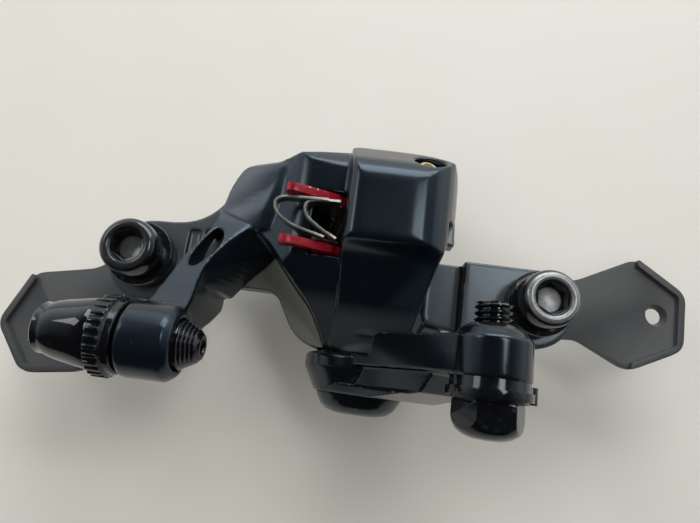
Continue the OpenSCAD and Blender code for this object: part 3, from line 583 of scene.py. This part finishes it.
tab_plastic = tab_plastic_finish()
pad_red = pad_red_finish()
friction_block = lining_finish()
yellow_plate = yellow_plate_finish()
seal_rubber = rubber_finish()
print("finishes so far:", len(bpy.data.materials))

# %% [markdown]
# ## Finishes on the CAD pieces
#
# Most hidden and turned pieces have the right shape already, so they keep their CAD mesh and only
# get their finish. Pieces that are modelled again below get theirs there.

# %% Finishes on the CAD pieces
for finish, names in (
    (shaft_steel, "lever_nut actuator_shaft fixed_ramp pressure_foot inboard_foot"),
    (spring_steel, "return_spring ramp_balls"),
    (yellow_plate, "ball_cage"),
    (seal_rubber, "shaft_seal adjuster_seal"),
    (friction_block, "outboard_lining inboard_lining"),
):
    paint_all(finish, *[cad_nodes[name] for name in names.split()])
print("finished CAD pieces:", len(cad_nodes))

# %% [markdown]
# ## Where the paint wears off
#
# Paint wears off on convex edges first. An edge is convex where the normals of its two ends lean
# apart. So for each point of a dense mesh this lean is averaged over its edges, spread a little to
# its neighbours, and stored as the attribute worn.

# %% Measuring the wear
SHARP_LEAN = 0.22


def store_wear(obj, reach):
    """Stores how convex the skin is at each point, from 0 on flats to 1 on sharp edges."""
    mesh = obj.data
    count = len(mesh.vertices)
    places = np.empty(count * 3)
    normals = np.empty(count * 3)
    ends = np.empty(len(mesh.edges) * 2, int)
    mesh.vertices.foreach_get("co", places)
    mesh.vertices.foreach_get("normal", normals)
    mesh.edges.foreach_get("vertices", ends)
    places, normals, ends = places.reshape(-1, 3), normals.reshape(-1, 3), ends.reshape(-1, 2)
    first, second = ends[:, 0], ends[:, 1]
    along = places[first] - places[second]
    length = np.maximum(np.linalg.norm(along, axis=1), 1e-9)
    bend = np.zeros(count)
    np.add.at(bend, first, (normals[first] * along).sum(1) / length)
    np.add.at(bend, second, -(normals[second] * along).sum(1) / length)
    links = np.maximum(np.bincount(ends.ravel(), minlength=count), 1)
    bend /= links
    for _ in range(reach):
        total = np.bincount(first, bend[second], count) + np.bincount(second, bend[first], count)
        bend = 0.5 * bend + 0.5 * total / links
    worn = np.clip(bend / SHARP_LEAN, 0, 1)
    attribute = mesh.attributes.new("worn", "FLOAT", "POINT")
    attribute.data.foreach_set("value", worn.astype(np.float32))
    return worn

print("wear can be measured")

# %% [markdown]
# ## A soft skin
#
# CAD edges are sharp, but a painted casting has none: metal won't fill a sharp corner of a mould,
# and paint rounds it further. Bevelling each edge of such a complex shape is hard. Instead a copy
# of the skin is made again from small cubes, a voxel remesh, and smoothed, which rounds every edge
# by about half a millimetre. Its wear is measured while it is dense. A last step thins the mesh
# where it is flat.

# %% Making a skin again
def soft_skin(skin, cube, rounds, share):
    """Makes a piece's skin again from cubes of a size in mm, smooths it and keeps a share."""
    name = skin.name
    add_modifier(skin, "REMESH", mode="VOXEL", voxel_size=cube * MM, use_smooth_shade=True)
    add_modifier(skin, "SMOOTH", factor=0.5, iterations=rounds)
    worn = store_wear(skin, 2)
    add_modifier(skin, "DECIMATE", ratio=share)
    take(skin)
    bpy.ops.object.shade_smooth()
    worn_share = round(float((worn > 0.5).mean()), 3)
    print(name, "faces:", len(skin.data.polygons), "worn share:", worn_share)
    return skin

# %% [markdown]
# ## Lofting through sections
#
# A loft is drawn as a row of closed sections. Three more are put between each two, on a smooth
# curve, because a bridge between two far and unlike sections would fold along its diagonals. The
# sections are then bridged, and both ends are filled.

# %% Lofting
def curve_point(before, start, end, after, share):
    """A point at a share of the way from start to end, on the smooth curve of a whole row."""
    return 0.5 * (2 * start + (end - before) * share
                  + (2 * before - 5 * start + 4 * end - after) * share ** 2
                  + (3 * start - before - 3 * end + after) * share ** 3)


def loft(name, sections, steps=4):
    """Joins closed sections, each a list of points in mm, to one solid with curved sides."""
    given = [[Vector(point) * MM for point in points] for points in sections]
    given = [given[0], *given, given[-1]]
    fine = [[curve_point(*points, step / steps) for points in zip(*given[first:first + 4])]
            for first in range(len(given) - 3) for step in range(steps)]
    rings = []
    for points in [*fine, given[-1]]:
        ring = trace(name, [*points, points[0]])
        close_skin(ring)
        rings.append(ring)
    solid = join(rings, name)
    take(solid)
    bpy.ops.object.mode_set(mode="EDIT")
    bpy.ops.mesh.select_all(action="SELECT")
    bpy.ops.mesh.bridge_edge_loops()
    bpy.ops.mesh.select_all(action="DESELECT")
    bpy.ops.mesh.select_non_manifold()
    bpy.ops.mesh.edge_face_add()
    return close_skin(solid)

print("lofting is ready")

# %% [markdown]
# ## Cheek and wall
#
# The casting has a broad cheek where the arm runs up into the left shoulder, and a wall that comes
# down from the arm's right edge to the foot. Each is a loft along Y. A table gives the few numbers
# that change from section to section, and the rest of a section is the same for all.

# %% Cheek and wall
# Y, left edge, its height, crease, its height, right height
CHEEK = (
    (7.8, -24.2, 12.3, -16.6, 13.5, 14.2), (10.0, -24.3, 12.1, -16.2, 13.8, 14.4),
    (12.5, -24.2, 11.8, -15.6, 14.1, 14.6), (17.0, -23.5, 10.9, -14.6, 14.4, 14.8),
    (21.0, -21.8, 10.3, -13.7, 14.2, 14.5), (22.6, -19.6, 9.2, -13.3, 12.8, 13.0),
)
CHEEK_RIGHT, CHEEK_FLOOR, WALL_FLOOR = -12, 5, 4
cheek = loft("cheek", [
    [(CHEEK_RIGHT, y, CHEEK_FLOOR), (left, y, CHEEK_FLOOR), (left, y, left_z),
     (crease, y, crease_z), (CHEEK_RIGHT, y, right_z)]
    for y, left, left_z, crease, crease_z, right_z in CHEEK
])
# Y, left edge, right edge at the top, its height, right edge below
WALL = (
    (-5.0, -23.6, -22.9, 22.6, -21.2), (-1.0, -22.9, -22.4, 19.6, -18.2),
    (3.0, -21.6, -21.1, 16.7, -14.2), (6.5, -20.6, -18.8, 14.3, -11.8),
    (9.8, -20.0, -15.4, 12.4, -10.6),
)
arm_wall = loft("arm_wall", [
    [(left, y, WALL_FLOOR), (below, y, WALL_FLOOR), (right, y, top), (left, y, top)]
    for y, left, right, top, below in WALL
])
print("faces of cheek and wall:", len(cheek.data.polygons), len(arm_wall.data.polygons))

# %% [markdown]
# ## The casting
#
# Beside the right ear the real casting has a valley that is open to the front, and under the arm it
# has no ledge, because the wall is there. So two boxes are cut out of a copy of the CAD body with a
# Boolean modifier. Then cheek and wall are joined to it, and the voxel remesh melts all three into
# one skin.

# %% The casting
VALLEY = (20.6, -1.6, 9), (6.4, 20, 5.4)  # middle and size
LEDGE = (-20.7, 0.6, 8), (3.2, 11.6, 5.8)
body_copy = merged_copy("caliper_body", "soft_casting")
for place, size in (VALLEY, LEDGE):
    take(camera)
    bpy.ops.mesh.primitive_cube_add(size=1, location=Vector(place) * MM)
    bpy.context.object.scale = Vector(size) * MM
    cut_away(body_copy, settle(bpy.context.object))
casting = soft_skin(join([body_copy, cheek, arm_wall], "soft_casting"),
                    cube=0.28, rounds=12, share=0.47)
finish_piece(casting, casting_paint, "caliper", "body_paint", "caliper_body")

# %% [markdown]
# ## The lever
#
# The lever is a casting too, so it gets the same treatment, with smaller cubes because it is a
# smaller piece.

# %% Soft lever
lever = soft_skin(merged_copy("lever_arm", "soft_lever"), cube=0.20, rounds=6, share=0.6)
finish_piece(lever, lever_paint, "lever", "lever_paint", "lever_arm")

# %% [markdown]
# ## Pieces with broken edges
#
# Washers, tabs, pads, knobs and the cap on the lever's hub already have their shape in CAD, but
# with knife edges. A bevel of a tenth to half a millimetre gives each one the rounded rim that
# turning, moulding or stamping leaves.

# %% Bevelled pieces
bevel_jobs = (
    ("keeper_tab_left", 0.30, tab_plastic, "caliper", "keeper_plastic"),
    ("keeper_tab_right", 0.30, tab_plastic, "caliper", "keeper_plastic"),
    ("clamp_washer", 0.25, bolt_black, "lever", "black_bolt_steel"),
    ("outboard_pad_plate", 0.28, pad_red, "piston", "pad_red"),
    ("inboard_pad_plate", 0.28, pad_red, "inboard_pad", "pad_red"),
    ("pad_spring", 0.10, spring_steel, "caliper", "spring_steel"),
    ("hub_cap", 0.45, lever_paint, "lever", "lever_paint"),
    ("lock_screw", 0.15, yellow_plate, "caliper", "brass"),
    ("inboard_adjuster", 0.35, barrel_black, "pad_knob", "gloss_black"),
    ("upper_cup_left", 0.25, washer_black, "caliper", "washer_black"),
    ("upper_cup_right", 0.25, washer_black, "caliper", "washer_black"),
    ("upper_cone_left", 0.15, washer_black, "caliper", "washer_black"),
    ("upper_cone_right", 0.15, washer_black, "caliper", "washer_black"),
    ("lower_cone_left", 0.15, washer_black, "caliper", "washer_black"),
    ("lower_cone_right", 0.15, washer_black, "caliper", "washer_black"),
    ("lower_cup_left", 0.25, washer_steel, "caliper", "washer_steel"),
    ("lower_cup_right", 0.25, washer_steel, "caliper", "washer_steel"),
)
for node, width, finish, body, slot in bevel_jobs:
    piece = bevelled(merged_copy(node, "soft_" + node), width)
    finish_piece(piece, finish, body, slot, node)
    print(piece.name, "faces:", len(piece.data.polygons))

# %% [markdown]
# ## Mounting bolts
#
# Each is an M6 socket head bolt. The head is turned, with a broad rounded rim and a small chamfer
# that leads into the hex socket. The socket is cut by a Boolean modifier with a hexagonal bar. The
# thread starts below the keeper tab, under a plain shank that is a little thinner. The right bolt's
# plating is worn on the rim, and its socket is dusty.

# %% Mounting bolts
HEAD_HEIGHT, SOCKET_DEPTH = 6.0, 2.8
SOCKET_CORNER = 2.5 / math.cos(math.radians(30))
SHANK_RADIUS, THREAD_RADIUS = 2.7, 2.98
HEAD_OUTLINE = (
    (0.0, 0.0), (4.8, 0.0), (5.0, 0.2), (5.0, 4.6), (4.85, 5.3), (4.4, 5.8), (3.9, 6.0), (3.5, 6.0),
    (3.2, 5.85), (2.98, 5.5), (0.0, 5.5),
)


def mounting_bolt(node, name):
    low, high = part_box(node)
    middle = Vector(((low.x + high.x) / 2, (low.y + high.y) / 2, high.z - HEAD_HEIGHT * MM))
    head = turned(name, middle, UP, HEAD_OUTLINE)
    floor = middle + UP * (HEAD_HEIGHT - SOCKET_DEPTH) * MM
    bpy.ops.object.select_all(action="DESELECT")
    bpy.ops.mesh.primitive_cylinder_add(vertices=6, radius=SOCKET_CORNER * MM, depth=8 * MM,
                                        location=floor + UP * 4 * MM)
    cut_away(head, settle(bpy.context.object))
    bevelled(head, 0.12, 2)
    tab_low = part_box("keeper_tab_right")[0].z
    shank_top = (middle.z - tab_low) / MM + 0.2
    shank = turned("shank", Vector((middle.x, middle.y, tab_low)), UP,
                   ((0, -0.4), (SHANK_RADIUS, -0.4), (SHANK_RADIUS, shank_top), (0, shank_top)), 40)
    tip = threaded("tip", Vector((middle.x, middle.y, low.z)), UP, THREAD_RADIUS,
                   (tab_low - low.z) / MM)
    return join([head, smooth(shank), smooth(tip, 50)], name)


for node, rim_wear, socket_dust in (
    ("mount_bolt_left", 0.06, 0.22), ("mount_bolt_right", 0.75, 0.85),
):
    bolt = mounting_bolt(node, "turned_" + node)
    low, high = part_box(node)
    worn_bolt = bolt_finish(node + "_finish", (low + high) / 2, high.z, rim_wear, socket_dust)
    finish_piece(bolt, worn_bolt, "caliper", "black_bolt_steel", node)
    print(bolt.name, "faces:", len(bolt.data.polygons))

# %% [markdown]
# ## Pinch bolt
#
# The bolt that clamps the cable has a tall hexagonal head with a domed end. A hexagonal bar is cut
# to the dome by a Boolean modifier that keeps what both share. Its thread comes out behind the
# lever's boss, where its turns catch the light.

# %% Pinch bolt
washer_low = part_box("clamp_washer")[0]
pinch_low, pinch_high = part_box("pinch_bolt")
pinch_seat = Vector(((pinch_low.x + pinch_high.x) / 2, washer_low.y,
                     (pinch_low.z + pinch_high.z) / 2))
head_length = (washer_low.y - pinch_low.y) / MM
head_corner = (pinch_high.z - pinch_low.z) / 2 / MM
dome = turned("turned_pinch_bolt", pinch_seat, -BACK, (
    (0, 0), (head_corner - 0.2, 0), (head_corner, 0.3), (head_corner, head_length - 3.0),
    (head_corner - 0.3, head_length - 2.1), (head_corner - 0.9, head_length - 1.2),
    (head_corner - 1.9, head_length - 0.5), (head_corner - 3.2, head_length - 0.1),
    (0, head_length)))
bpy.ops.object.select_all(action="DESELECT")
bpy.ops.mesh.primitive_cylinder_add(
    vertices=6, radius=head_corner * MM, depth=20 * MM, location=pinch_seat,
    rotation=(math.radians(90), math.radians(30), 0))
hex_bar = settle(bpy.context.object)
add_modifier(dome, "BOOLEAN", operation="INTERSECT", object=hex_bar, solver="EXACT")
bpy.data.objects.remove(hex_bar)
bevelled(dome, 0.35, 3, 24)
PINCH_THREAD_RADIUS = 2.94
pinch_thread = threaded("pinch_thread", pinch_seat, BACK, PINCH_THREAD_RADIUS,
                        (pinch_high.y - washer_low.y) / MM)
pinch = join([dome, smooth(pinch_thread, 50)], "turned_pinch_bolt")
finish_piece(pinch, bolt_black, "lever", "black_bolt_steel", "pinch_bolt")
print(pinch.name, "faces:", len(pinch.data.polygons))

# %% [markdown]
# ## Adjuster barrel
#
# The barrel is a slim polished cone that swells towards the ring. Its outer end has a small collar
# round the socket for the cable housing. At the other end its thread comes out of the boss, tapers
# and stops. The thread's last turns are drawn as rings in the outline, because they taper.

# %% Adjuster barrel
barrel_low, barrel_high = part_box("adjuster_barrel")
cable_y, cable_z = (barrel_low.y + barrel_high.y) / 2, (barrel_low.z + barrel_high.z) / 2
ring_low, ring_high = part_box("adjuster_ring")
reach = (barrel_high.x - ring_low.x) / MM
snout = (ring_low.x - barrel_low.x) / MM
TAPER_TURNS, TURN_STEP, TAPER = 5, 0.56, 0.3
rings = []
for turn in range(TAPER_TURNS):
    at = reach - 3.2 + TURN_STEP * turn
    wide = 3.85 - TAPER * turn
    rings += [(wide - 0.16, at), (wide, at + 0.20), (wide, at + 0.30), (wide - 0.24, at + 0.50)]
barrel = turned("turned_barrel", Vector((ring_low.x, cable_y, cable_z)), RIGHT, (
    (1.2, -snout + 5.5), (2.6, -snout + 5.5), (2.6, -snout + 0.2), (3.0, -snout), (3.7, -snout),
    (4.0, -snout + 0.3), (4.0, -snout + 1.2), (4.15, -snout + 1.5), (4.4, -snout + 2.2),
    (4.7, -snout + 3.4), (5.0, -snout + 5.2), (5.32, -2.2), (5.42, -1.2), (5.4, -0.5),
    (5.1, 0.05), (3.9, 0.05), (3.9, reach - 3.8),
    *rings, (1.9, reach), (1.3, reach), (1.2, reach - 0.2), (1.2, -snout + 5.5)), 96)
bevelled(barrel, 0.12, 2)
finish_piece(barrel, barrel_black, "barrel", "gloss_black", "adjuster_barrel")
print(barrel.name, "faces:", len(barrel.data.polygons))

# %% [markdown]
# ## Adjuster ring
#
# The ring that locks the barrel has shallow ribs for the fingers on its outer half and a smooth
# collar beside the boss. It is spun in sixty steps. Every second face of the ribbed band is inset
# and pushed out by a fifth of a millimetre, and the bevel rounds the ribs.

# %% Adjuster ring
RIB_HEIGHT, RING_STEPS = 0.22, 60
ring_r = (ring_high.z - ring_low.z) / 2 / MM
ring_w = (ring_high.x - ring_low.x) / MM
skin_r = ring_r - RIB_HEIGHT
ring = turned("turned_ring", Vector((ring_low.x, cable_y, cable_z)), RIGHT, (
    (4.05, 0), (ring_r - 0.9, 0), (skin_r, 0.35), (skin_r, 2.45), (skin_r - 0.45, 2.75),
    (skin_r - 0.45, ring_w - 0.25), (skin_r - 0.75, ring_w), (4.05, ring_w), (4.05, 0)),
    RING_STEPS)
take(ring)
bpy.ops.object.mode_set(mode="EDIT")
bpy.ops.mesh.select_all(action="DESELECT")
edit = bmesh.from_edit_mesh(ring.data)
for face in edit.faces:
    middle = face.calc_center_median() - Vector((ring_low.x, cable_y, cable_z))
    turn = math.atan2(middle.z, middle.y) / math.tau * RING_STEPS
    outside = math.hypot(middle.y, middle.z) > (skin_r - 0.1) * MM
    face.select_set(outside and 0.4 * MM < middle.x < 2.4 * MM and math.floor(turn) % 2 == 0)
bmesh.update_edit_mesh(ring.data)
bpy.ops.mesh.inset(thickness=0.08 * MM, use_individual=True)
bpy.ops.transform.shrink_fatten(value=RIB_HEIGHT * MM)
settle(ring)
bevelled(ring, 0.07, 2)
finish_piece(ring, bolt_black, "ring", "gloss_black", "adjuster_ring")
print(ring.name, "faces:", len(ring.data.polygons))

# %% [markdown]
# ## The table
#
# The table is plain, pale and matt, a little below the lowest piece. It belongs to the stage and
# not to the object.

# %% Table
GAP_BELOW = 0.1 * MM
table_pale, table_paler = (0.74, 0.715, 0.655), (0.77, 0.745, 0.69)
take(camera)
bpy.ops.mesh.primitive_plane_add(size=2.4, location=(0, 0.2, cad_low.z - GAP_BELOW))
table = settle(bpy.context.object)
table.name = "table"
table_finish = Finish("table_top", Specular_IOR_Level=0.2, Roughness=0.55)
table_finish.set(Base_Color=table_finish.mix(table_finish.noise(40, 3), table_pale, table_paler))
paint_all(table_finish, table)
table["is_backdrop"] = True
print("table:", table.name)

# %% [markdown]
# ## The light
#
# The main light is a large soft one behind the object, up and to the right in the picture, as its
# shadows fall towards the lower left. A second one, high on the right, brightens the flat faces
# there, and a low one on the left draws the bright lines on the ridges. A fill lamp, which mirrors
# nowhere, keeps the table pale in front.

# %% Light
def lamp(name, place, aim, size, power, colour=(1, 1, 1)):
    data = bpy.data.lights.new(name, "AREA")
    data.shape = "RECTANGLE"
    data.size, data.size_y = size
    data.energy = power
    data.color = colour
    obj = bpy.data.objects.new(name, data)
    obj.location = Vector(place)
    obj.rotation_euler = (Vector(aim) - Vector(place)).to_track_quat("-Z", "Y").to_euler()
    bpy.context.scene.collection.objects.link(obj)
    return obj


lamp("window", (0.08, 0.52, 0.36), (0, 0, 0), (0.56, 0.30), 2.55, (0.97, 0.99, 1.0))
lamp("ceiling_right", (0.22, 0.145, 0.55), (0.02, 0, 0), (0.22, 0.13), 0.55, (1.0, 0.99, 0.96))
lamp("side_left", (-0.37, 0.17, 0.36), (-0.02, 0, 0), (0.14, 0.16), 0.26, (1.0, 0.99, 0.96))
fill = lamp("fill", (-0.30, -0.14, 0.74), (-0.05, -0.02, 0), (0.7, 0.5), 2.0, (1.0, 0.98, 0.94))
fill.visible_glossy = False

# %% [markdown]
# ## The room
#
# Black paint shows mostly what it mirrors. So the room around is pale towards the window and at
# the sides, low down, and dim overhead and behind the camera, and that makes the paint look black.
# Its glow is worked out from the direction, north being the window's side.

# %% Room
ROOM_GLOW, DIM_GLOW = 1.45, 0.03
world = bpy.data.worlds.new("room")
bpy.context.scene.world = world
world.use_nodes = True
room = world.node_tree
direction = room.nodes.new("ShaderNodeTexCoord").outputs["Generated"]


def room_maths(operation, first, second=0.0, clamp=False):
    made = room.nodes.new("ShaderNodeMath")
    made.operation, made.use_clamp = operation, clamp
    for index, value in enumerate((first, second)):
        if isinstance(value, bpy.types.NodeSocket):
            room.links.new(value, made.inputs[index])
        else:
            made.inputs[index].default_value = value
    return made.outputs[0]


split = room.nodes.new("ShaderNodeSeparateXYZ")
room.links.new(direction, split.inputs[0])
east, north, height = split.outputs
towards_sides = room_maths("MULTIPLY", room_maths("ABSOLUTE", east), 0.35)
towards_window = room_maths("ADD", room_maths("MULTIPLY", north, 0.9), towards_sides)
side_share = room_maths("ADD", towards_window, 0.08, clamp=True)
low_share = room_maths("SUBTRACT", 1.45, room_maths("MULTIPLY", height, 1.75), clamp=True)
pale_share = room_maths("MULTIPLY", side_share, low_share)
glow = room_maths("ADD", room_maths("MULTIPLY", pale_share, ROOM_GLOW), DIM_GLOW)
background = room.nodes["Background"]
background.inputs["Color"].default_value = (0.95, 0.98, 1.0, 1)
room.links.new(glow, background.inputs["Strength"])
bpy.context.scene.view_settings.view_transform = "Standard"
print("world:", world.name)

low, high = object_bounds()
print("grown by mm:", [round(v / MM, 2) for v in (*(cad_low - low), *(high - cad_high))])
